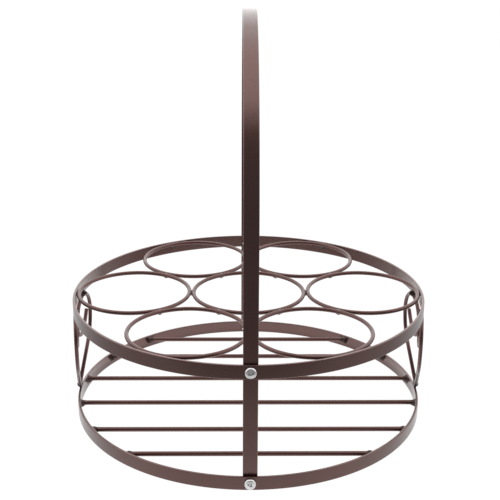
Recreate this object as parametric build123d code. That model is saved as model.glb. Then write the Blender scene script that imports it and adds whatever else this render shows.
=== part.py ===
from build123d import *
import math
import os

# Round bottle caddy for seven bottles, in millimetres.
# +X right, +Y to the back, +Z up. The origin is the centre of the circle it stands on.

# Flat strip, hoops and handle
hoop_outer_radius = 132.5
strip_width = 10.0
strip_thickness = 2.0
strip_edge_round = 0.5
upper_hoop_top = 92.0
overall_height = 302.0
leg_lift = 1.0
leg_clearance = 0.1

# Wire
ring_wire = 3.0
deck_wire = 3.5
scroll_wire = 3.0
wire_end_round = 0.6

# Rings and deck: the contact gap is what the weld beads bridge
contact_gap = 0.3
ring_drop = 0.1
deck_drop = 1.0
bar_offset_shares = [-0.734, -0.472, -0.157, 0.157, 0.472, 0.734]

# One scroll, as it is bent in its own flat plane
scroll_half_width = 37.5
scroll_plane_turn = 8.0
scroll_stand_out = 0.8
scroll_rise_angle = 43.0
scroll_crown_radius = 17.5
scroll_drop = 2.0
scroll_curl_radius = 9.0
scroll_curl_sweep = 128.0
scroll_tail_radius = 47.0
scroll_tail_sweep = 21.0

# M4 screw with a cross recess, and its nut
screw_diameter = 4.0
screw_length = 10.0
screw_hole_clearance = 0.2
screw_tip_chamfer = 0.5
head_diameter = 8.0
head_height = 2.8
head_round = 1.6
recess_span = 4.4
recess_width = 1.2
recess_depth = 1.7
recess_taper = 10.0
nut_across_flats = 7.0
nut_thickness = 3.2
nut_bore_clearance = 0.05
nut_corner_angle = 30.0

# Weld beads, and how far a bead under a joint hangs below it
ring_weld_radius = 2.0
hoop_weld_radius = 2.1
deck_weld_radius = 2.7
scroll_weld_radius = 2.2
weld_sag = 1.0
weld_round_share = 0.8

# Sizes that follow from these
hoop_inner_radius = hoop_outer_radius - strip_thickness
hoop_mid_radius = (hoop_outer_radius + hoop_inner_radius) / 2
upper_hoop_bottom = upper_hoop_top - strip_width
leg_outer_face = math.sqrt(hoop_inner_radius**2 - (strip_width / 2) ** 2) - leg_clearance
leg_inner_face = leg_outer_face - strip_thickness
leg_mid = (leg_outer_face + leg_inner_face) / 2
arch_centre_z = overall_height - leg_outer_face
ring_outer_radius = (hoop_inner_radius - 2 * contact_gap) / 3
ring_path_radius = ring_outer_radius - ring_wire / 2
ring_pitch = 2 * ring_outer_radius + contact_gap
ring_z = upper_hoop_top - ring_wire / 2 - ring_drop
deck_z = strip_width - deck_wire / 2 - deck_drop
scroll_middle_radius = hoop_mid_radius + scroll_stand_out
screw_heights = [strip_width / 2, upper_hoop_bottom + strip_width / 2]

# The ring pattern: one in the middle, six round it, named by where they stand
outer_ring_names = [
    "ring_right",
    "ring_back_right",
    "ring_back_left",
    "ring_left",
    "ring_front_left",
    "ring_front_right",
]
outer_ring_angles = {}
for place, ring_name in enumerate(outer_ring_names):
    outer_ring_angles[ring_name] = math.degrees(math.tau * place / len(outer_ring_names))
ring_centres = {"ring_centre": Vector(0, 0, 0)}
for ring_name, ring_angle in outer_ring_angles.items():
    ring_centres[ring_name] = Vector(ring_pitch, 0, 0).rotate(Axis.Z, ring_angle)


def without(shape, *others):
    """The shape with the others cut away. Only its largest solid is kept."""
    for other in others:
        shape = shape - other
    return shape.solids().sort_by(SortBy.VOLUME)[-1]


def bead(radius, x, y, z):
    """A weld bead: a short stud, rounded almost to a ball."""
    stud = Cylinder(radius, 2 * radius)
    return Pos(x, y, z) * fillet(stud.edges().filter_by(GeomType.CIRCLE), weld_round_share * radius)


def screw_hole(z):
    """A rod along Y that cuts the front and back screw holes at one height."""
    radius = screw_diameter / 2 + screw_hole_clearance
    return Pos(0, 0, z) * Rot(90, 0, 0) * Cylinder(radius, 2 * (hoop_outer_radius + strip_thickness))


def hoop(bottom):
    """Strip rolled on edge to a circle, its long edges eased, with two screw holes."""
    ring = Cylinder(hoop_outer_radius, strip_width) - Cylinder(hoop_inner_radius, strip_width)
    ring = fillet(ring.edges().filter_by(GeomType.CIRCLE), strip_edge_round)
    middle = bottom + strip_width / 2
    return Pos(0, 0, middle) * ring - screw_hole(middle)


def handle():
    """One strip: a front leg, a half-round arch and a back leg, with four screw holes."""
    front = Line((0, -leg_mid, leg_lift), (0, -leg_mid, arch_centre_z))
    arch = ThreePointArc(front @ 1, (0, 0, arch_centre_z + leg_mid), (0, leg_mid, arch_centre_z))
    back = Line(arch @ 1, (0, leg_mid, leg_lift))
    section = Pos(front @ 0) * RectangleRounded(strip_width, strip_thickness, strip_edge_round)
    strap = sweep(section, path=front + arch + back)
    for z in screw_heights:
        strap -= screw_hole(z)
    return strap


def wire_ring(centre):
    """One round bottle ring, lying flat near the upper hoop's top edge."""
    return Pos(centre.X, centre.Y, ring_z) * Torus(ring_path_radius, ring_wire / 2)


def deck_bar_end(y):
    """How far along X a deck bar at this place reaches before it meets the lower hoop."""
    far_side = abs(y) + deck_wire / 2
    return math.sqrt(hoop_inner_radius**2 - far_side**2) - contact_gap


def deck_bar(y):
    """One straight bar along X, square-cut inside the lower hoop."""
    return Pos(0, y, deck_z) * Rot(0, 90, 0) * Cylinder(deck_wire / 2, 2 * deck_bar_end(y))


# The scroll's outline follows from the room between the hoops
scroll_crown_z = upper_hoop_bottom - contact_gap - scroll_wire / 2
scroll_side_z = scroll_crown_z - scroll_crown_radius
scroll_middle_u = (scroll_wire + contact_gap) / 2
scroll_crown_u = scroll_half_width - scroll_crown_radius
scroll_inner_radius = scroll_crown_u - scroll_middle_u
scroll_rise = math.radians(scroll_rise_angle)
scroll_foot_z = strip_width + contact_gap + scroll_wire / 2 / math.cos(scroll_rise)
scroll_side_radius = (
    scroll_side_z - scroll_foot_z - scroll_half_width * math.tan(scroll_rise)
) / (math.cos(scroll_rise) - math.tan(scroll_rise) * (1 - math.sin(scroll_rise)))
scroll_bend_u = scroll_half_width - scroll_side_radius * (1 - math.sin(scroll_rise))
scroll_bend_z = scroll_side_z - scroll_side_radius * math.cos(scroll_rise)


def scroll_path():
    """The wire's centre line in its plane: u away from the side's middle, z up.

    A straight rise from the foot, out and up to the side, round the crown, down beside
    the middle, round the curl and up the tail, all bending the same way.
    """
    lead = scroll_wire
    rise = Line((-lead, scroll_foot_z - lead * math.tan(scroll_rise)), (scroll_bend_u, scroll_bend_z))
    side = JernArc(rise @ 1, rise % 1, scroll_side_radius, 90 - scroll_rise_angle)
    crown = JernArc(side @ 1, side % 1, scroll_crown_radius, 90)
    inner = JernArc(crown @ 1, crown % 1, scroll_inner_radius, 90)
    drop = Line(inner @ 1, (inner @ 1) + (inner % 1) * scroll_drop)
    curl = JernArc(drop @ 1, drop % 1, scroll_curl_radius, scroll_curl_sweep)
    tail = JernArc(curl @ 1, curl % 1, scroll_tail_radius, scroll_tail_sweep)
    return rise + side + crown + inner + drop + curl + tail


def scroll_plane(side, half):
    """The flat plane of one scroll. side is -1 left or 1 right, half is -1 front or 1 back."""
    turn = math.radians(scroll_plane_turn)
    along = Vector(-side * math.sin(turn), half * math.cos(turn), 0)
    return Plane(
        origin=(side * scroll_middle_radius, 0, 0), x_dir=along, z_dir=along.cross(Vector(0, 0, 1))
    )


def scroll(side, half):
    """One bent scroll. Its foot is mitred where it meets the other half."""
    path = scroll_path()
    start = Plane(origin=path @ 0, z_dir=path % 0)
    wire = sweep(start * Circle(scroll_wire / 2), path=path)
    tip = wire.faces().filter_by(GeomType.PLANE).sort_by_distance(path @ 1)[0]
    wire = fillet(tip.edges(), wire_end_round)
    wire = scroll_plane(side, half) * wire
    room = 2 * (hoop_outer_radius + scroll_wire)
    other_half = Box(room, room, 2 * upper_hoop_top)
    return without(wire, Pos(0, half * (contact_gap - room) / 2, 0) * other_half)


def screw():
    """A pan-head screw along +Y from its seat at the origin, head towards -Y."""
    head = Pos(0, 0, head_height / 2) * Cylinder(head_diameter / 2, head_height)
    head = fillet(head.edges().filter_by(GeomType.CIRCLE).sort_by(Axis.Z)[-1], head_round)
    cross = Rectangle(recess_span, recess_width) + Rectangle(recess_width, recess_span)
    head -= extrude(Pos(0, 0, head_height) * cross, amount=-recess_depth, taper=recess_taper)
    shank = Pos(0, 0, -screw_length / 2) * Cylinder(screw_diameter / 2, screw_length)
    shank = chamfer(shank.edges().filter_by(GeomType.CIRCLE).sort_by(Axis.Z)[0], screw_tip_chamfer)
    return Rot(90, 0, 0) * (head + shank)


def nut():
    """A hexagon nut along +Y from its seat at the origin, its corners turned off."""
    hexagon = RegularPolygon(nut_across_flats / 2, 6, major_radius=False)
    corner_radius = nut_across_flats / 2 / math.cos(math.pi / 6)
    corner = corner_radius - nut_across_flats / 2
    blank = Cylinder(corner_radius, nut_thickness)
    blank = chamfer(
        blank.edges().filter_by(GeomType.CIRCLE),
        length=corner * math.tan(math.radians(nut_corner_angle)),
        length2=corner,
    )
    body = blank & Pos(0, 0, -nut_thickness / 2) * extrude(hexagon, nut_thickness)
    body -= Cylinder(screw_diameter / 2 + nut_bore_clearance, nut_thickness)
    return Pos(0, nut_thickness / 2, 0) * Rot(90, 0, 0) * body


def at_legs(piece, distance):
    """The piece at both heights, front and back, seated this far from the middle."""
    placed = []
    for turn in (0, 180):
        for z in screw_heights:
            placed.append(Rot(0, 0, turn) * Pos(0, -distance, z) * piece)
    return placed


nodes = {}
nodes["upper_hoop"] = hoop(upper_hoop_bottom)
nodes["lower_hoop"] = hoop(0)
nodes["handle_strap"] = handle()

for name, centre in ring_centres.items():
    nodes[name] = wire_ring(centre)

bar_places = [share * hoop_outer_radius for share in bar_offset_shares]
for number, y in enumerate(bar_places, start=1):
    nodes[f"deck_bar_{number}"] = deck_bar(y)

side_names = {-1: "left", 1: "right"}
half_names = {-1: "front", 1: "back"}
for side, side_name in side_names.items():
    for half, half_name in half_names.items():
        nodes[f"scroll_{side_name}_{half_name}"] = scroll(side, half)

nodes["screws"] = Compound(at_legs(screw(), hoop_outer_radius))
nodes["nuts"] = Compound(at_legs(nut(), leg_inner_face))

# Weld beads between neighbouring rings
ring_welds = []
names = list(ring_centres)
for index, first in enumerate(names):
    for second in names[index + 1 :]:
        apart = ring_centres[second] - ring_centres[first]
        if apart.length < ring_pitch + contact_gap:
            middle = (ring_centres[first] + ring_centres[second]) / 2
            blob = bead(ring_weld_radius, middle.X, middle.Y, ring_z - weld_sag)
            ring_welds.append(without(blob, nodes[first], nodes[second]))
nodes["ring_welds"] = Compound(ring_welds)

# Weld beads between the outer rings and the upper hoop
hoop_welds = []
for name, angle in outer_ring_angles.items():
    reach = Vector(hoop_inner_radius - contact_gap / 2, 0, 0).rotate(Axis.Z, angle)
    blob = bead(hoop_weld_radius, reach.X, reach.Y, ring_z - weld_sag)
    hoop_welds.append(without(blob, nodes[name], nodes["upper_hoop"]))
nodes["hoop_welds"] = Compound(hoop_welds)

# Weld beads round both ends of each deck bar
deck_welds = []
for number, y in enumerate(bar_places, start=1):
    for side in (-1, 1):
        blob = bead(deck_weld_radius, side * deck_bar_end(y), y, deck_z)
        deck_welds.append(without(blob, nodes[f"deck_bar_{number}"], nodes["lower_hoop"]))
nodes["deck_welds"] = Compound(deck_welds)

# Weld beads of the scrolls: foot, middle and both crowns on each side
scroll_welds = []
middle_z = scroll_side_z - scroll_drop / 2
for side, side_name in side_names.items():
    halves = [nodes[f"scroll_{side_name}_{half_name}"] for half_name in half_names.values()]
    for z in (scroll_foot_z, middle_z):
        blob = bead(scroll_weld_radius, side * scroll_middle_radius, 0, z)
        scroll_welds.append(without(blob, *halves, nodes["lower_hoop"]))
    for half, wire in zip(half_names, halves):
        crown = scroll_plane(side, half).from_local_coords(Vector(scroll_crown_u, scroll_crown_z, 0))
        inward = Vector(crown.X, crown.Y, 0).normalized() * (scroll_wire / 2)
        blob = bead(scroll_weld_radius, crown.X - inward.X, crown.Y - inward.Y, upper_hoop_bottom)
        scroll_welds.append(without(blob, wire, nodes["upper_hoop"]))
nodes["scroll_welds"] = Compound(scroll_welds)

os.makedirs("parts", exist_ok=True)
for name, shape in nodes.items():
    export_step(shape, f"parts/{name}.step")
    print(name, len(shape.solids()), round(shape.volume, 2))
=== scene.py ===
import math

import bmesh
import bpy
from mathutils import Matrix, Vector, noise
from mathutils.bvhtree import BVHTree


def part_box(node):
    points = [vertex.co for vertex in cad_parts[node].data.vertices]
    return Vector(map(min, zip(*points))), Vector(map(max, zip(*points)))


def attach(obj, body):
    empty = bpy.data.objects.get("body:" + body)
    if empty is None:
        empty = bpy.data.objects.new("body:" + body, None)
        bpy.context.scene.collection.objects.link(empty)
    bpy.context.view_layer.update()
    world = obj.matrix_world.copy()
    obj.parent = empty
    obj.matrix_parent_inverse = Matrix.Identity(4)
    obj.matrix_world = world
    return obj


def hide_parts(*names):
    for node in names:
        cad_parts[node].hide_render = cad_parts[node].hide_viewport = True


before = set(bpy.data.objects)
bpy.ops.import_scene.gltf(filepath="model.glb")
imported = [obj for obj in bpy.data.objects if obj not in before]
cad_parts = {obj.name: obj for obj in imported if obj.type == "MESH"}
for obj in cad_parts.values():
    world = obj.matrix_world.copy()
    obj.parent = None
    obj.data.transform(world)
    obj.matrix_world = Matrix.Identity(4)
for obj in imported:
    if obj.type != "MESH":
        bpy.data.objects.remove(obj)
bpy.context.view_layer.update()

# Hoops
# Two hoops of flat steel strip, stood on edge and rolled to the same circle, their long
# edges eased. Upper and lower hoop are sprayed with dark metallic bronze powder and baked.
strip_thickness = 0.002
strip_edge_round = 0.0005
edge_round_steps = 4
edge_fade_width = 0.0004
hoop_steps = 240
upper_low, upper_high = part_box("upper_hoop")
lower_low, lower_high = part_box("lower_hoop")
hoop_outer_radius = upper_high.x
hoop_inner_radius = hoop_outer_radius - strip_thickness
strip_width = upper_high.z - upper_low.z


def strip_outline():
    """The strip's cross section, once round, as points across and along it.

    The third value marks the rounded edges: 1 on them, 0 on the flats.
    """
    outline = []
    half_thickness = strip_thickness / 2
    corner = (half_thickness - strip_edge_round, strip_width / 2 - strip_edge_round)
    for turn, (right, up) in enumerate([(1, 1), (-1, 1), (-1, -1), (1, -1)]):
        arc = []
        for step in range(edge_round_steps + 1):
            angle = math.pi / 2 * (turn + step / edge_round_steps)
            across = right * corner[0] + strip_edge_round * math.cos(angle)
            along = up * corner[1] + strip_edge_round * math.sin(angle)
            arc.append((across, along, 1.0))
        support = up * (corner[1] - edge_fade_width)
        before = (right * half_thickness, support, 0.0)
        outline += [before] + arc if right * up > 0 else arc + [before]
    return outline


def strip_section(mesh, place):
    """The cross section's loop of edges. place turns (across, along) into a point."""
    edge_layer = mesh.verts.layers.float.new("edge")
    ring = []
    for across, along, edge in strip_outline():
        vert = mesh.verts.new(place(across, along))
        vert[edge_layer] = edge
        ring.append(vert)
    return [mesh.edges.new(pair) for pair in zip(ring, ring[1:] + ring[:1])]


def piece_from(mesh, name, material, slot, *replaced):
    """Turns a bmesh into a smooth-shaded piece that rides on the body."""
    bmesh.ops.recalc_face_normals(mesh, faces=mesh.faces)
    for face in mesh.faces:
        face.smooth = True
    data = bpy.data.meshes.new(name)
    mesh.to_mesh(data)
    mesh.free()
    data.materials.append(material)
    piece = bpy.data.objects.new(name, data)
    bpy.context.scene.collection.objects.link(piece)
    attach(piece, "root")
    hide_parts(*replaced)
    return piece


def new_group(name, inputs, outputs):
    """An empty shader node group with named sockets. Gives the group and its two ends."""
    group = bpy.data.node_groups.new(name, "ShaderNodeTree")
    for label, kind, value in inputs:
        socket = group.interface.new_socket(label, in_out="INPUT", socket_type=kind)
        socket.default_value = value
    for label, kind in outputs:
        group.interface.new_socket(label, in_out="OUTPUT", socket_type=kind)
    return group, group.nodes.new("NodeGroupInput"), group.nodes.new("NodeGroupOutput")


def noise_at(tree, vector, scale, detail, roughness):
    """A noise texture in cycles a metre."""
    node = tree.nodes.new("ShaderNodeTexNoise")
    node.inputs["Scale"].default_value = scale
    node.inputs["Detail"].default_value = detail
    node.inputs["Roughness"].default_value = roughness
    tree.links.new(vector, node.inputs["Vector"])
    return node.outputs["Fac"]


def maths(tree, operation, *values):
    """A math node. Each value is a number or a socket."""
    node = tree.nodes.new("ShaderNodeMath")
    node.operation = operation
    for socket, value in zip(node.inputs, values):
        if isinstance(value, (int, float)):
            socket.default_value = value
        else:
            tree.links.new(value, socket)
    return node.outputs[0]


def blend_colors(tree, factor, first, second):
    """A colour mix node. Factor and colours are values or sockets."""
    node = tree.nodes.new("ShaderNodeMix")
    node.data_type = "RGBA"
    for socket, value in ((node.inputs[0], factor), (node.inputs[6], first), (node.inputs[7], second)):
        if isinstance(value, (int, float, tuple)):
            socket.default_value = value
        else:
            tree.links.new(value, socket)
    return node.outputs[2]


cloud_scale = 45
fleck_scale = 2600
fleck_threshold = 0.56
fleck_sharpness = 9.0
grain_scale = 300
roughness_swing = 0.16
wave_scale = 650
grit_scale = 2800
grit_share = 0.25
edge_patch_scale = 160


def pigment_group():
    """Metallic pigment: slow clouds of lighter and darker powder, and fine bright flecks."""
    group, start, end = new_group(
        "metallic_pigment",
        [
            ("Powder Color", "NodeSocketColor", (0.5, 0.5, 0.5, 1)),
            ("Fleck Color", "NodeSocketColor", (0.7, 0.7, 0.7, 1)),
            ("Cloud Depth", "NodeSocketFloat", 0.2),
            ("Fleck Amount", "NodeSocketFloat", 0.3),
            ("Base Roughness", "NodeSocketFloat", 0.4),
        ],
        [("Color", "NodeSocketColor"), ("Roughness", "NodeSocketFloat")],
    )
    place = group.nodes.new("ShaderNodeTexCoord").outputs["Object"]
    cloud = noise_at(group, place, cloud_scale, detail=3, roughness=0.6)
    swing = maths(group, "SUBTRACT", cloud, 0.5)
    shade = maths(group, "MULTIPLY_ADD", swing, start.outputs["Cloud Depth"], 1.0)
    fleck = noise_at(group, place, fleck_scale, detail=2, roughness=0.7)
    fleck = maths(group, "SUBTRACT", fleck, fleck_threshold)
    fleck = maths(group, "MULTIPLY", fleck, fleck_sharpness)
    fleck = maths(group, "MINIMUM", maths(group, "MAXIMUM", fleck, 0.0), 1.0)
    fleck = maths(group, "MULTIPLY", fleck, start.outputs["Fleck Amount"])
    shaded = group.nodes.new("ShaderNodeVectorMath")
    shaded.operation = "SCALE"
    group.links.new(start.outputs["Powder Color"], shaded.inputs[0])
    group.links.new(shade, shaded.inputs["Scale"])
    color = blend_colors(group, fleck, shaded.outputs[0], start.outputs["Fleck Color"])
    group.links.new(color, end.inputs["Color"])
    grain = noise_at(group, place, grain_scale, detail=3, roughness=0.6)
    grain = maths(group, "SUBTRACT", grain, 0.5)
    rough = maths(group, "MULTIPLY_ADD", grain, roughness_swing, start.outputs["Base Roughness"])
    group.links.new(rough, end.inputs["Roughness"])
    return group


def orange_peel_group():
    """The gentle waves of baked powder, as a height."""
    group, _, end = new_group("orange_peel", [], [("Height", "NodeSocketFloat")])
    place = group.nodes.new("ShaderNodeTexCoord").outputs["Object"]
    wave = noise_at(group, place, wave_scale, detail=1, roughness=0.4)
    grit = noise_at(group, place, grit_scale, detail=2, roughness=0.5)
    height = maths(group, "MULTIPLY_ADD", grit, grit_share, wave)
    group.links.new(height, end.inputs["Height"])
    return group


def edge_thin_coat_and_highlight_group():
    """Lightens the rounded edges: partly a painted highlight, partly thin powder that pulled back from
    the edge as it melted.
    """
    group, start, end = new_group(
        "edge_thin_coat_and_highlight",
        [
            ("Color", "NodeSocketColor", (0.5, 0.5, 0.5, 1)),
            ("Edge Color", "NodeSocketColor", (0.5, 0.5, 0.5, 1)),
            ("Edge", "NodeSocketFloat", 0),
            ("Thinness", "NodeSocketFloat", 0.5),
        ],
        [("Color", "NodeSocketColor")],
    )
    place = group.nodes.new("ShaderNodeTexCoord").outputs["Object"]
    broken = noise_at(group, place, edge_patch_scale, detail=4, roughness=0.6)
    amount = maths(group, "MULTIPLY", broken, start.outputs["Thinness"])
    amount = maths(group, "MULTIPLY", amount, start.outputs["Edge"])
    color = blend_colors(group, amount, start.outputs["Color"], start.outputs["Edge Color"])
    group.links.new(color, end.inputs["Color"])
    return group


def placed(tree, group, **values):
    """A group node in a material. Keywords set its sockets, underscores for spaces."""
    node = tree.nodes.new("ShaderNodeGroup")
    node.node_tree = group
    for label, value in values.items():
        socket = node.inputs[label.replace("_", " ")]
        if isinstance(value, bpy.types.NodeSocket):
            tree.links.new(value, socket)
        else:
            socket.default_value = value
    return node


bronze_powder = (0.114, 0.051, 0.044, 1)
bronze_fleck = (0.260, 0.150, 0.135, 1)
# Lighter edge colour: partly a painted highlight on the rounded edges, partly thin powder.
bronze_edge_thin_coat_and_highlight = (0.200, 0.110, 0.098, 1)
skin_roughness = 0.16
peel_strength = 0.35
metallic_pigment = pigment_group()
orange_peel = orange_peel_group()
edge_thin_coat_and_highlight = edge_thin_coat_and_highlight_group()


def bronze_coat(name, powder, cloud_depth, fleck_amount, roughness, skin, peel_depth, edge_thin_coat_and_highlight_share):
    """Dark bronze powder coat: metallic pigment under a thin clear skin."""
    material = bpy.data.materials.new(name)
    material.use_nodes = True
    tree = material.node_tree
    shader = tree.nodes["Principled BSDF"]
    shader.inputs["Metallic"].default_value = 1.0
    shader.inputs["Coat Weight"].default_value = skin
    shader.inputs["Coat Roughness"].default_value = skin_roughness
    pigment = placed(
        tree, metallic_pigment, Powder_Color=powder, Fleck_Color=bronze_fleck,
        Cloud_Depth=cloud_depth, Fleck_Amount=fleck_amount, Base_Roughness=roughness,
    )
    color = pigment.outputs["Color"]
    # Painted highlight with thin powder: the rounded edges get a lighter colour.
    if edge_thin_coat_and_highlight_share:
        edge = tree.nodes.new("ShaderNodeAttribute")
        edge.attribute_name = "edge"
        thinned = placed(
            tree, edge_thin_coat_and_highlight, Color=color, Edge_Color=bronze_edge_thin_coat_and_highlight, Edge=edge.outputs["Fac"],
            Thinness=edge_thin_coat_and_highlight_share,
        )
        color = thinned.outputs["Color"]
    tree.links.new(color, shader.inputs["Base Color"])
    tree.links.new(pigment.outputs["Roughness"], shader.inputs["Roughness"])
    bump = tree.nodes.new("ShaderNodeBump")
    bump.inputs["Strength"].default_value = peel_strength
    bump.inputs["Distance"].default_value = peel_depth
    peel = placed(tree, orange_peel)
    tree.links.new(peel.outputs["Height"], bump.inputs["Height"])
    tree.links.new(bump.outputs["Normal"], shader.inputs["Normal"])
    return material


strip_coat = bronze_coat(
    "strip_coat", bronze_powder, cloud_depth=0.25, fleck_amount=0.15, roughness=0.34,
    skin=1.0, peel_depth=0.00010, edge_thin_coat_and_highlight_share=0.30,
)

hoop_mid_radius = hoop_outer_radius - strip_thickness / 2
made = {}
for hoop_name, hoop_mid_z in (
    ("upper_hoop", (upper_low.z + upper_high.z) / 2), ("lower_hoop", (lower_low.z + lower_high.z) / 2),
):
    hoop_mesh = bmesh.new()
    section = strip_section(
        hoop_mesh, lambda across, along: (hoop_mid_radius + across, 0, hoop_mid_z + along),
    )
    section_verts = [edge.verts[0] for edge in section]
    bmesh.ops.spin(
        hoop_mesh, geom=section_verts + section, cent=(0, 0, 0), axis=(0, 0, 1),
        angle=2 * math.pi, steps=hoop_steps, use_merge=True,
    )
    made[hoop_name] = piece_from(
        hoop_mesh, hoop_name + "_strip", strip_coat, "bronze_powder_coat", hoop_name,
    )

# Handle
# One longer piece of the same strip, bent flatwise to a half-round arch with two straight
# legs. The legs stand inside both hoops and are screwed to them.
arch_steps = 96
leg_steps = 8
leg_end_round = 0.0003
strap_low, strap_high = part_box("handle_strap")
leg_mid_y = strap_high.y - strip_thickness / 2
arch_centre_z = strap_high.z - strap_high.y

strap_mesh = bmesh.new()
front_foot = strip_section(
    strap_mesh, lambda across, along: (along, -leg_mid_y - across, strap_low.z),
)
bmesh.ops.edgeloop_fill(strap_mesh, edges=front_foot)


def ease_ends(mesh, offset):
    """Rounds the sawn ends: every edge of a face with more than four corners."""
    rims = [edge for edge in mesh.edges if any(len(face.verts) > 4 for face in edge.link_faces)]
    bmesh.ops.bevel(
        mesh, geom=rims, offset=offset, segments=2, profile=0.5, affect="EDGES", material=-1,
    )


def loop_only(geometry):
    """The vertices and edges of an extruded or spun end."""
    verts = [part for part in geometry if isinstance(part, bmesh.types.BMVert)]
    edges = [part for part in geometry if isinstance(part, bmesh.types.BMEdge)
             and part.verts[0] in verts and part.verts[1] in verts]
    return verts, edges


def carry_on(mesh, edges, offset, steps):
    """Extrudes the loop of edges straight on by the offset, in equal steps."""
    for step in range(steps):
        verts, edges = loop_only(bmesh.ops.extrude_edge_only(mesh, edges=edges)["geom"])
        bmesh.ops.translate(mesh, verts=verts, vec=offset / steps)
    return verts, edges


leg_rise = Vector((0, 0, arch_centre_z - strap_low.z))
front_top_verts, front_top = carry_on(strap_mesh, front_foot, leg_rise, leg_steps)
arch = bmesh.ops.spin(
    strap_mesh, geom=front_top_verts + front_top, cent=(0, 0, arch_centre_z), axis=(1, 0, 0),
    angle=-math.pi, steps=arch_steps,
)["geom_last"]
back_foot = carry_on(strap_mesh, loop_only(arch)[1], -leg_rise, leg_steps)[1]
bmesh.ops.edgeloop_fill(strap_mesh, edges=back_foot)
ease_ends(strap_mesh, leg_end_round)
piece_from(strap_mesh, "handle_strip", strip_coat, "bronze_powder_coat", "handle_strap")

# Bottle rings
# Seven rings of round wire, each rolled and butt welded, one in the middle and six round
# it. They lie flat just under the upper hoop's top edge.
ring_names = [
    "ring_centre", "ring_right", "ring_back_right", "ring_back_left",
    "ring_left", "ring_front_left", "ring_front_right",
]
wire_sides = 18
ring_steps = 144
wire_coat = bronze_coat(
    "wire_coat", bronze_powder, cloud_depth=0.25, fleck_amount=0.08, roughness=0.36,
    skin=0.6, peel_depth=0.00005, edge_thin_coat_and_highlight_share=0,
)


def wire_section(mesh, centre, along, radius):
    """A circle of wire in a new mesh, square to the direction along. Gives its points and edges."""
    turn = Vector(along).to_track_quat("Z", "Y").to_matrix().to_4x4()
    verts = bmesh.ops.create_circle(
        mesh, segments=wire_sides, radius=radius, matrix=Matrix.Translation(centre) @ turn,
    )["verts"]
    return verts, mesh.edges[:]


ring_centres = {}
for ring_name in ring_names:
    ring_low, ring_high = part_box(ring_name)
    ring_centre = (ring_low + ring_high) / 2
    ring_centres[ring_name] = ring_centre
    wire_radius = (ring_high.z - ring_low.z) / 2
    ring_outer_radius = (ring_high.x - ring_low.x) / 2
    path_radius = ring_outer_radius - wire_radius
    ring_mesh = bmesh.new()
    start_point = ring_centre + Vector((path_radius, 0, 0))
    wire_verts, wire_edges = wire_section(ring_mesh, start_point, (0, 1, 0), wire_radius)
    bmesh.ops.spin(
        ring_mesh, geom=wire_verts + wire_edges, cent=ring_centre, axis=(0, 0, 1),
        angle=2 * math.pi, steps=ring_steps, use_merge=True,
    )
    made[ring_name] = piece_from(
        ring_mesh, ring_name + "_wire", wire_coat, "bronze_powder_coat", ring_name,
    )

# Deck
# Six straight wires, thicker than the rings, cut to length and welded at both ends inside
# the lower hoop. The bottles stand on them.
bar_steps = 24
bar_end_round = 0.0004
bar_names = [f"deck_bar_{number}" for number in range(1, 7)]
for bar_name in bar_names:
    bar_low, bar_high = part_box(bar_name)
    bar_radius = (bar_high.z - bar_low.z) / 2
    bar_middle = (bar_low + bar_high) / 2
    bar_mesh = bmesh.new()
    end_point = Vector((bar_low.x, bar_middle.y, bar_middle.z))
    bar_edges = wire_section(bar_mesh, end_point, (1, 0, 0), bar_radius)[1]
    bmesh.ops.contextual_create(bar_mesh, geom=bar_edges)
    bar_length = Vector((bar_high.x - bar_low.x, 0, 0))
    bar_edges = carry_on(bar_mesh, bar_edges, bar_length, bar_steps)[1]
    bmesh.ops.contextual_create(bar_mesh, geom=bar_edges)
    ease_ends(bar_mesh, bar_end_round)
    made[bar_name] = piece_from(
        bar_mesh, bar_name + "_wire", wire_coat, "bronze_powder_coat", bar_name,
    )

# Scrolls
# Two bent wires on each side, front and back half of a heart. Each rises from a foot on the
# lower hoop, rounds its crown under the upper hoop and curls in to a free end.
scroll_wire_radius = 0.0015
scroll_middle_radius = 0.1323
scroll_plane_turn = math.radians(8)
scroll_half_width = 0.0375
scroll_rise_angle = math.radians(43)
scroll_crown_radius = 0.0175
scroll_drop = 0.002
scroll_curl_radius = 0.009
scroll_curl_sweep = math.radians(128)
scroll_tail_radius = 0.047
scroll_tail_sweep = math.radians(21)
bend_step = math.radians(5)
weld_gap = 0.0003
scroll_end_round = 0.0006
scroll_merge_distance = 1e-7

scroll_crown_z = upper_low.z - weld_gap - scroll_wire_radius
scroll_side_z = scroll_crown_z - scroll_crown_radius
scroll_middle_u = scroll_wire_radius + weld_gap / 2
scroll_inner_radius = scroll_half_width - scroll_crown_radius - scroll_middle_u
scroll_foot_z = lower_high.z + weld_gap + scroll_wire_radius / math.cos(scroll_rise_angle)
rise_slope = math.tan(scroll_rise_angle)
scroll_side_radius = (scroll_side_z - scroll_foot_z - scroll_half_width * rise_slope) / (
    math.cos(scroll_rise_angle) - rise_slope * (1 - math.sin(scroll_rise_angle))
)
scroll_bends = [
    (scroll_side_radius, math.pi / 2 - scroll_rise_angle),
    (scroll_crown_radius, math.pi / 2),
    (scroll_inner_radius, math.pi / 2),
    (None, scroll_drop),
    (scroll_curl_radius, scroll_curl_sweep),
    (scroll_tail_radius, scroll_tail_sweep),
]


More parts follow.
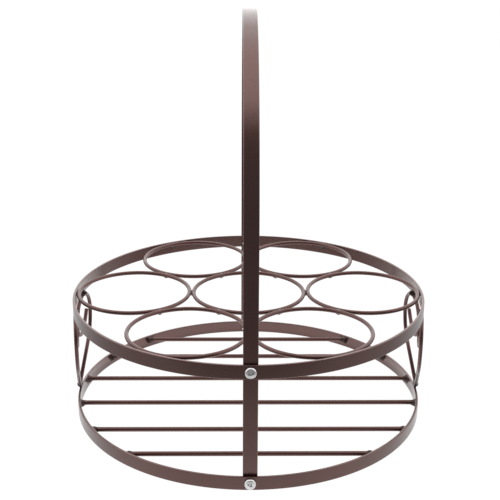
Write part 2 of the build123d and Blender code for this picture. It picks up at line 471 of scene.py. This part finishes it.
def scroll_mesh(side, half):
    """One scroll, bent in its own upright plane. side is -1 left, 1 right; half -1 front, 1 back."""
    outward = Vector((-side * math.sin(scroll_plane_turn), half * math.cos(scroll_plane_turn), 0))
    up = Vector((0, 0, 1))
    normal = outward.cross(up)
    origin = Vector((side * scroll_middle_radius, 0, 0))
    mesh = bmesh.new()
    heading = outward * math.cos(scroll_rise_angle) + up * math.sin(scroll_rise_angle)
    point = origin + up * scroll_foot_z
    verts, edges = wire_section(mesh, point, heading, scroll_wire_radius)
    bend_u = scroll_half_width - scroll_side_radius * (1 - math.sin(scroll_rise_angle))
    moves = [(None, bend_u / math.cos(scroll_rise_angle))] + scroll_bends
    for radius, amount in moves:
        if radius is None:
            verts, edges = loop_only(bmesh.ops.extrude_edge_only(mesh, edges=edges)["geom"])
            bmesh.ops.translate(mesh, verts=verts, vec=heading * amount)
            point = point + heading * amount
            continue
        centre = point + normal.cross(heading) * radius
        spun = bmesh.ops.spin(
            mesh, geom=verts + edges, cent=centre, axis=normal, angle=amount,
            steps=math.ceil(amount / bend_step),
        )
        verts, edges = loop_only(spun["geom_last"])
        turn = Matrix.Rotation(amount, 3, normal)
        point = centre + turn @ (point - centre)
        heading = turn @ heading
    bmesh.ops.remove_doubles(mesh, verts=mesh.verts, dist=scroll_merge_distance)
    bmesh.ops.holes_fill(mesh, edges=mesh.edges, sides=wire_sides)
    rims = [edge for edge in mesh.edges if any(len(face.verts) > 4 for face in edge.link_faces)
            and (edge.verts[0].co - point).length < 2 * scroll_wire_radius]
    bmesh.ops.bevel(
        mesh, geom=rims, offset=scroll_end_round, segments=3, profile=0.5, affect="EDGES", material=-1,
    )
    return mesh


for side, side_name in ((-1, "left"), (1, "right")):
    for half, half_name in ((-1, "front"), (1, "back")):
        scroll_name = f"scroll_{side_name}_{half_name}"
        made[scroll_name] = piece_from(
            scroll_mesh(side, half), scroll_name + "_wire", wire_coat, "bronze_powder_coat", scroll_name,
        )

# Welds
# Beads of weld metal where wires touch each other or a hoop, laid from below. Each melt ran
# into the corner beside it, froze in a dull lump and was sprayed with the rest.
weld_subdivisions = 4
weld_lump_size = 0.0016
weld_lump_height = 0.00035
weld_flow = 0.0014
weld_under = 0.00006
weld_reach_share = 1.8
weld_marches = 14
weld_halvings = 5
ring_weld_radius = 0.0020
hoop_weld_radius = 0.0021
deck_weld_radius = 0.0027
scroll_weld_radius = 0.0020
ring_weld_sag = Vector((0, 0, 0.0010))
hoop_weld_sag = Vector((0, 0, 0.0015))
deck_weld_sag = Vector((0, 0, 0.0006))
weld_bite = 0.0004
# Painted shade: the welds' powder is darker than the strip's, standing in for the shade at the joints
# between parts.
weld_powder_painted_shade = (0.050, 0.024, 0.021, 1)
weld_coat = bronze_coat(
    "weld_coat", weld_powder_painted_shade, cloud_depth=0.60, fleck_amount=0.20, roughness=0.44,
    skin=0.5, peel_depth=0.00015, edge_thin_coat_and_highlight_share=0,
)
skins = {}


def skin_of(name):
    """A search tree of a finished piece, to measure how far a point is from its metal."""
    if name not in skins:
        data = made[name].data
        corners = [vert.co for vert in data.vertices]
        skins[name] = BVHTree.FromPolygons(corners, [face.vertices for face in data.polygons])
    return skins[name]


def outside_melt(point, centre, radius, trees):
    """How far a point lies outside a melt: a lumpy ball blended into the metal beside it."""
    lump = noise.noise(point / weld_lump_size) * weld_lump_height
    distance = (point - centre).length - radius - lump
    for tree in trees:
        spot, normal, index, away = tree.find_nearest(point)
        if (point - spot).dot(normal) < 0:
            away = -away
        away += weld_under
        blend = max(weld_flow - abs(distance - away), 0) / weld_flow
        distance = min(distance, away) - blend * blend * weld_flow / 4
    return distance


def weld_bead(mesh, centre, radius, *neighbours):
    """Adds one bead: a ball whose points are moved out to the skin of the melt."""
    trees = [skin_of(name) for name in neighbours]
    stride = radius * weld_reach_share / weld_marches
    for vert in bmesh.ops.create_icosphere(mesh, subdivisions=weld_subdivisions, radius=1)["verts"]:
        heading = vert.co.normalized()
        reach = 0.0
        for march in range(weld_marches):
            if outside_melt(centre + heading * (reach + stride), centre, radius, trees) > 0:
                break
            reach += stride
        step = stride
        for halving in range(weld_halvings):
            step /= 2
            if outside_melt(centre + heading * (reach + step), centre, radius, trees) < 0:
                reach += step
        vert.co = centre + heading * reach


def keep_in_strip(mesh, limit):
    """Draws in every point that would come out through a hoop's outer face."""
    for vert in mesh.verts:
        away = vert.co.xy.length
        if away > limit:
            vert.co.xy *= limit / away


ring_weld_mesh = bmesh.new()
ring_pitch = 2 * ring_outer_radius + weld_gap
for index, first in enumerate(ring_names):
    for second in ring_names[index + 1:]:
        apart = ring_centres[second] - ring_centres[first]
        if apart.length < ring_pitch + weld_gap:
            joint = (ring_centres[first] + ring_centres[second]) / 2 - ring_weld_sag
            weld_bead(ring_weld_mesh, joint, ring_weld_radius, first, second)
piece_from(ring_weld_mesh, "ring_weld_beads", weld_coat, "bronze_powder_coat", "ring_welds")

hoop_weld_mesh = bmesh.new()
for ring_name in ring_names[1:]:
    outward = (ring_centres[ring_name] - ring_centres["ring_centre"]).normalized()
    joint = ring_centres["ring_centre"] + outward * (hoop_inner_radius - weld_gap / 2)
    weld_bead(hoop_weld_mesh, joint - hoop_weld_sag, hoop_weld_radius, ring_name, "upper_hoop")
keep_in_strip(hoop_weld_mesh, hoop_inner_radius + weld_bite)
piece_from(hoop_weld_mesh, "hoop_weld_beads", weld_coat, "bronze_powder_coat", "hoop_welds")

deck_weld_mesh = bmesh.new()
for bar_name in bar_names:
    bar_low, bar_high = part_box(bar_name)
    bar_middle = (bar_low + bar_high) / 2
    for end_x in (bar_low.x, bar_high.x):
        joint = Vector((end_x, bar_middle.y, bar_middle.z)) - deck_weld_sag
        weld_bead(deck_weld_mesh, joint, deck_weld_radius, bar_name, "lower_hoop")
keep_in_strip(deck_weld_mesh, hoop_inner_radius + weld_bite)
piece_from(deck_weld_mesh, "deck_weld_beads", weld_coat, "bronze_powder_coat", "deck_welds")

scroll_weld_mesh = bmesh.new()
scroll_crown_u = scroll_half_width - scroll_crown_radius
scroll_middle_z = scroll_side_z - scroll_drop / 2
for side, side_name in ((-1, "left"), (1, "right")):
    halves = [f"scroll_{side_name}_front", f"scroll_{side_name}_back"]
    foot = Vector((side * scroll_middle_radius, 0, scroll_foot_z))
    weld_bead(scroll_weld_mesh, foot, scroll_weld_radius, *halves, "lower_hoop")
    middle = Vector((side * scroll_middle_radius, 0, scroll_middle_z))
    weld_bead(scroll_weld_mesh, middle, scroll_weld_radius, *halves)
    for half, scroll_name in zip((-1, 1), halves):
        crown = Vector((
            side * (scroll_middle_radius - scroll_crown_u * math.sin(scroll_plane_turn)),
            half * scroll_crown_u * math.cos(scroll_plane_turn), 0,
        ))
        crown -= crown.normalized() * scroll_wire_radius
        crown.z = upper_low.z
        weld_bead(scroll_weld_mesh, crown, scroll_weld_radius, scroll_name, "upper_hoop")
piece_from(scroll_weld_mesh, "scroll_weld_beads", weld_coat, "bronze_powder_coat", "scroll_welds")

# Screws
# Four M4 pan-head screws with a cross recess, zinc plated and left bright. They go in from
# outside through hoop and leg, and each cross stands as the driver left it.
screw_radius = 0.0020
screw_length = 0.0100
screw_tip_chamfer = 0.0005
head_radius = 0.0040
head_height = 0.0028
head_corner_radius = 0.0016
head_corner_steps = 8
head_crown = 0.0006
recess_span = 0.0048
recess_width = 0.0013
recess_depth = 0.0019
recess_floor_share = 0.45
thread_pitch = 0.0007
thread_height = 0.00022
thread_half_share = 0.4
thread_turns = 5
screw_sides = 72
screw_merge_distance = 2e-6
screw_sharp_angle = math.radians(32)
crosses_turned = [math.radians(angle) for angle in (17, -12, 64, 31)]
zinc_color = (0.93, 0.93, 0.92, 1)
zinc_stain = (0.50, 0.51, 0.52, 1)
zinc_roughness = 0.04
stain_scale = 900
stain_depth = 0.6
scuff_scale = 1300
scuff_depth = 0.44
scuff_bump_strength = 0.3
scuff_bump_depth = 0.00003


def zinc_plate():
    """Bright zinc plate: a clean metal, scuffed in patches, with faint stains."""
    material = bpy.data.materials.new("zinc_plate")
    material.use_nodes = True
    tree = material.node_tree
    shader = tree.nodes["Principled BSDF"]
    shader.inputs["Metallic"].default_value = 1.0
    place = tree.nodes.new("ShaderNodeTexCoord").outputs["Object"]
    stain = noise_at(tree, place, stain_scale, detail=3, roughness=0.6)
    stain = maths(tree, "MULTIPLY", stain, stain_depth)
    color = blend_colors(tree, stain, zinc_color, zinc_stain)
    tree.links.new(color, shader.inputs["Base Color"])
    scuff = noise_at(tree, place, scuff_scale, detail=4, roughness=0.7)
    rough = maths(tree, "MULTIPLY_ADD", scuff, scuff_depth, zinc_roughness)
    tree.links.new(rough, shader.inputs["Roughness"])
    bump = tree.nodes.new("ShaderNodeBump")
    bump.inputs["Strength"].default_value = scuff_bump_strength
    bump.inputs["Distance"].default_value = scuff_bump_depth
    tree.links.new(scuff, bump.inputs["Height"])
    tree.links.new(bump.outputs["Normal"], shader.inputs["Normal"])
    return material


def object_of(mesh, name):
    """A plain object of a bmesh, for cutting one shape with another."""
    bmesh.ops.recalc_face_normals(mesh, faces=mesh.faces)
    data = bpy.data.meshes.new(name)
    mesh.to_mesh(data)
    mesh.free()
    item = bpy.data.objects.new(name, data)
    bpy.context.scene.collection.objects.link(item)
    return item


def screw_blank():
    """Head and shank in one, turned about Z from a profile, seat at the origin, head up."""
    mesh = bmesh.new()
    flat = head_radius - head_corner_radius
    corner_z = head_height - head_crown - head_corner_radius
    profile = [(0, head_height), (flat / 2, head_height - head_crown / 3)]
    for step in range(head_corner_steps + 1):
        angle = math.pi / 2 * step / head_corner_steps
        profile.append((
            flat + head_corner_radius * math.sin(angle), corner_z + head_corner_radius * math.cos(angle),
        ))
    tip = -screw_length
    profile += [
        (head_radius, 0), (screw_radius, 0), (screw_radius, tip + screw_tip_chamfer),
        (screw_radius - screw_tip_chamfer, tip), (0, tip),
    ]
    points = [mesh.verts.new((across, 0, z)) for across, z in profile]
    edges = [mesh.edges.new(pair) for pair in zip(points, points[1:])]
    bmesh.ops.spin(
        mesh, geom=points + edges, cent=(0, 0, 0), axis=(0, 0, 1), angle=2 * math.pi,
        steps=screw_sides, use_merge=True,
    )
    bmesh.ops.remove_doubles(mesh, verts=mesh.verts, dist=screw_merge_distance)
    return object_of(mesh, "screw_blank")


def recess_wing(angle):
    """A tapered bar that cuts two arms of the cross."""
    mesh = bmesh.new()
    bar = bmesh.ops.create_cube(mesh, size=1)["verts"]
    bmesh.ops.scale(mesh, verts=bar, vec=(recess_span, recess_width, 2 * recess_depth))
    for vert in bar:
        share = recess_floor_share if vert.co.z < 0 else 2 - recess_floor_share
        bmesh.ops.scale(mesh, verts=[vert], vec=(share, share, 1))
    bmesh.ops.rotate(mesh, verts=bar, cent=(0, 0, 0), matrix=Matrix.Rotation(angle, 3, "Z"))
    bmesh.ops.translate(mesh, verts=bar, vec=(0, 0, head_height))
    return object_of(mesh, "recess_wing")


def finished_screw():
    """The blank with its cross cut in, as a mesh."""
    blank = screw_blank()
    wings = [recess_wing(angle) for angle in (0, math.pi / 2)]
    for wing in wings:
        cut = blank.modifiers.new("cut", "BOOLEAN")
        cut.operation = "DIFFERENCE"
        cut.solver = "EXACT"
        cut.object = wing
    ready = blank.evaluated_get(bpy.context.evaluated_depsgraph_get())
    data = bpy.data.meshes.new_from_object(ready)
    for item in [blank] + wings:
        bpy.data.objects.remove(item)
    return data


def screw_thread(mesh):
    """One ridge wound round the end of the shank."""
    top = -screw_length + screw_tip_chamfer + thread_turns * thread_pitch
    root = screw_radius - thread_height
    crest = screw_radius + thread_height / 2
    ridge = [(root, -thread_half_share), (crest, 0), (root, thread_half_share)]
    points = [mesh.verts.new((across, 0, top + share * thread_pitch)) for across, share in ridge]
    edges = [mesh.edges.new(pair) for pair in zip(points, points[1:] + points[:1])]
    steps = thread_turns * screw_sides // 2
    mesh.faces.new(points)
    end = bmesh.ops.spin(
        mesh, geom=points + edges, cent=(0, 0, 0), axis=(0, 0, 1), angle=2 * math.pi * thread_turns,
        dvec=(0, 0, -thread_pitch * thread_turns / steps), steps=steps,
    )["geom_last"]
    mesh.faces.new([part for part in end if isinstance(part, bmesh.types.BMVert)])


zinc = zinc_plate()
screw_data = finished_screw()
screw_mesh = bmesh.new()
screw_heights = [(low.z + high.z) / 2 for low, high in ((upper_low, upper_high), (lower_low, lower_high))]
lay_flat = Matrix.Rotation(math.pi / 2, 4, "X")
for place_number, cross_turn in enumerate(crosses_turned):
    one = bmesh.new()
    one.from_mesh(screw_data)
    bmesh.ops.remove_doubles(one, verts=one.verts, dist=screw_merge_distance)
    screw_thread(one)
    height = screw_heights[place_number // 2]
    to_side = Matrix.Rotation(math.pi * (place_number % 2), 4, "Z")
    seat = to_side @ Matrix.Translation((0, -hoop_outer_radius, height)) @ lay_flat
    bmesh.ops.transform(one, matrix=seat @ Matrix.Rotation(cross_turn, 4, "Z"), verts=one.verts)
    placed_data = bpy.data.meshes.new("placed_screw")
    one.to_mesh(placed_data)
    one.free()
    screw_mesh.from_mesh(placed_data)
screws = piece_from(screw_mesh, "screw_set", zinc, "zinc_plate", "screws")
screws.data.set_sharp_from_angle(angle=screw_sharp_angle)

# Nuts
# Four plain hexagon nuts of the same plate, tight against the inside of the legs.
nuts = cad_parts["nuts"]
nuts.data.materials.clear()
nuts.data.materials.append(zinc)

# Floor, light and camera
# A plain white floor that runs into a white background, under one large soft lamp. What the
# metal mirrors is the floor with a painted reflection on it, a white back wall and, in front, the dark
# room with the camera.
floor_half_size = 6.0
floor_white = (0.8, 0.8, 0.8, 1)
floor_glow = 0.97
floor_soft_grey = (0.10, 0.10, 0.10, 1)
# How bright the floor is painted where the metal mirrors it: darker to the front and sides, brighter
# inside the hoops.
front_fade = (-0.34, -0.10)
side_fade = (0.07, 0.18)
inner_fade = (0.124, 0.132)
front_floor_painted_shade = 0.25
side_floor_painted_shade = 0.6
inner_floor_painted_glow = 1.2
floor_mesh = bmesh.new()
bmesh.ops.create_grid(floor_mesh, x_segments=1, y_segments=1, size=floor_half_size)
floor_data = bpy.data.meshes.new("floor")
floor_mesh.to_mesh(floor_data)
floor_mesh.free()
floor = bpy.data.objects.new("floor", floor_data)
bpy.context.scene.collection.objects.link(floor)

floor_material = bpy.data.materials.new("floor_white")
floor_material.use_nodes = True
tree = floor_material.node_tree
tree.nodes.remove(tree.nodes["Principled BSDF"])
floor_out = tree.nodes["Material Output"]
white_diffuse = tree.nodes.new("ShaderNodeBsdfDiffuse")
white_diffuse.inputs["Color"].default_value = floor_white
glow = tree.nodes.new("ShaderNodeEmission")
glow.inputs["Color"].default_value = (1, 1, 1, 1)
glow.inputs["Strength"].default_value = floor_glow
lit = tree.nodes.new("ShaderNodeAddShader")
soft_share = tree.nodes.new("ShaderNodeBsdfDiffuse")
soft_share.inputs["Color"].default_value = floor_soft_grey
tree.links.new(glow.outputs[0], lit.inputs[0])
tree.links.new(soft_share.outputs[0], lit.inputs[1])
mirrored = tree.nodes.new("ShaderNodeEmission")
place = tree.nodes.new("ShaderNodeTexCoord").outputs["Object"]
split = tree.nodes.new("ShaderNodeSeparateXYZ")
tree.links.new(place, split.inputs[0])


def ramp(tree, value, start, end, level_start, level_end, curve="LINEAR"):
    """A level that runs from one value to another as the input goes from start to end."""
    node = tree.nodes.new("ShaderNodeMapRange")
    node.interpolation_type = curve
    tree.links.new(value, node.inputs["Value"])
    node.inputs["From Min"].default_value = start
    node.inputs["From Max"].default_value = end
    node.inputs["To Min"].default_value = level_start
    node.inputs["To Max"].default_value = level_end
    return node.outputs["Result"]


# Painted reflection: only in the metal, the floor is painted darker to the front and sides, and brighter
# inside the hoops.
towards_front = ramp(tree, split.outputs["Y"], *front_fade, front_floor_painted_shade, 1.0)
aside = maths(tree, "ABSOLUTE", split.outputs["X"])
towards_sides = ramp(tree, aside, *side_fade, 1.0, side_floor_painted_shade)
around = maths(tree, "MINIMUM", towards_front, towards_sides)
from_middle = tree.nodes.new("ShaderNodeVectorMath")
from_middle.operation = "LENGTH"
tree.links.new(place, from_middle.inputs[0])
inside = ramp(tree, from_middle.outputs["Value"], *inner_fade, inner_floor_painted_glow, 0.0)
tree.links.new(maths(tree, "MAXIMUM", around, inside), mirrored.inputs["Strength"])
path = tree.nodes.new("ShaderNodeLightPath")
glossy = tree.nodes.new("ShaderNodeMixShader")
tree.links.new(path.outputs["Is Glossy Ray"], glossy.inputs[0])
tree.links.new(white_diffuse.outputs[0], glossy.inputs[1])
tree.links.new(mirrored.outputs[0], glossy.inputs[2])
seen = tree.nodes.new("ShaderNodeMixShader")
tree.links.new(path.outputs["Is Camera Ray"], seen.inputs[0])
tree.links.new(glossy.outputs[0], seen.inputs[1])
tree.links.new(lit.outputs[0], seen.inputs[2])
tree.links.new(seen.outputs[0], floor_out.inputs["Surface"])
floor_data.materials.append(floor_material)

dark_half_width = math.sin(math.radians(60))
dark_half_height = math.sin(math.radians(64))
dark_fade = (0.93, 1.07)
dark_level = 0.20
wall_level = 1.12
low_wall_level = 1.40
wall_fade = (0.6, 0.8)
beyond_dark = 9.0
diffuse_level = 0.55
world = bpy.data.worlds.new("studio")
bpy.context.scene.world = world
world.use_nodes = True
tree = world.node_tree
background = tree.nodes["Background"]
direction = tree.nodes.new("ShaderNodeTexCoord").outputs["Generated"]
split = tree.nodes.new("ShaderNodeSeparateXYZ")
tree.links.new(direction, split.inputs[0])
# The dark room is an ellipse of directions to the front, with a soft rim.
across = maths(tree, "DIVIDE", split.outputs["X"], dark_half_width)
upward = maths(tree, "DIVIDE", split.outputs["Z"], dark_half_height)
across_squared = maths(tree, "MULTIPLY", across, across)
upward_squared = maths(tree, "MULTIPLY", upward, upward)
spread = maths(tree, "SQRT", maths(tree, "ADD", across_squared, upward_squared))
behind = maths(tree, "GREATER_THAN", split.outputs["Y"], 0.0)
spread = maths(tree, "MAXIMUM", spread, maths(tree, "MULTIPLY", behind, beyond_dark))
shade = ramp(tree, spread, *dark_fade, dark_level / wall_level, 1.0, "SMOOTHSTEP")
bright = ramp(tree, split.outputs["Z"], *wall_fade, low_wall_level, wall_level, "SMOOTHSTEP")
shade = maths(tree, "MULTIPLY", shade, bright)
path = tree.nodes.new("ShaderNodeLightPath")
is_glossy = path.outputs["Is Glossy Ray"]
is_other = maths(tree, "SUBTRACT", 1.0, is_glossy)
level = maths(tree, "MULTIPLY", is_glossy, shade)
level = maths(tree, "MULTIPLY_ADD", is_other, diffuse_level, level)
level = maths(tree, "MAXIMUM", level, path.outputs["Is Camera Ray"])
tree.links.new(level, background.inputs["Strength"])
background.inputs["Color"].default_value = (1, 1, 1, 1)

lamp_height = 1.7
lamp_size = 2.4
lamp_power = 7
lamp = bpy.data.lights.new("overhead_softbox", "AREA")
lamp.shape = "SQUARE"
lamp.size = lamp_size
lamp.energy = lamp_power
lamp_holder = bpy.data.objects.new("overhead_softbox", lamp)
lamp_holder.location = (0, 0, lamp_height)
bpy.context.scene.collection.objects.link(lamp_holder)

focal_pixels = 1021.4
frame_pixels = 500
sensor_width = 36
camera_distance = 0.7683
camera_turn = -0.0135
camera_elevation = 0.3348
camera_roll = 0.0050
camera_aim = Vector((0.0009, 0, 0.1243))

back = Vector((
    math.sin(camera_turn) * math.cos(camera_elevation),
    -math.cos(camera_turn) * math.cos(camera_elevation),
    math.sin(camera_elevation),
))
level_right = Vector((math.cos(camera_turn), math.sin(camera_turn), 0))
level_up = back.cross(level_right)
right = level_right * math.cos(camera_roll) + level_up * math.sin(camera_roll)
up = back.cross(right)
lens = bpy.data.cameras.new("camera")
lens.sensor_width = sensor_width
lens.lens = focal_pixels / frame_pixels * sensor_width
lens.clip_start = 0.01
camera = bpy.data.objects.new("camera", lens)
camera.matrix_world = Matrix.Translation(camera_aim + back * camera_distance) @ Matrix(
    (right, up, back)
).transposed().to_4x4()
bpy.context.scene.collection.objects.link(camera)
bpy.context.scene.camera = camera
bpy.context.scene.view_settings.view_transform = "Standard"
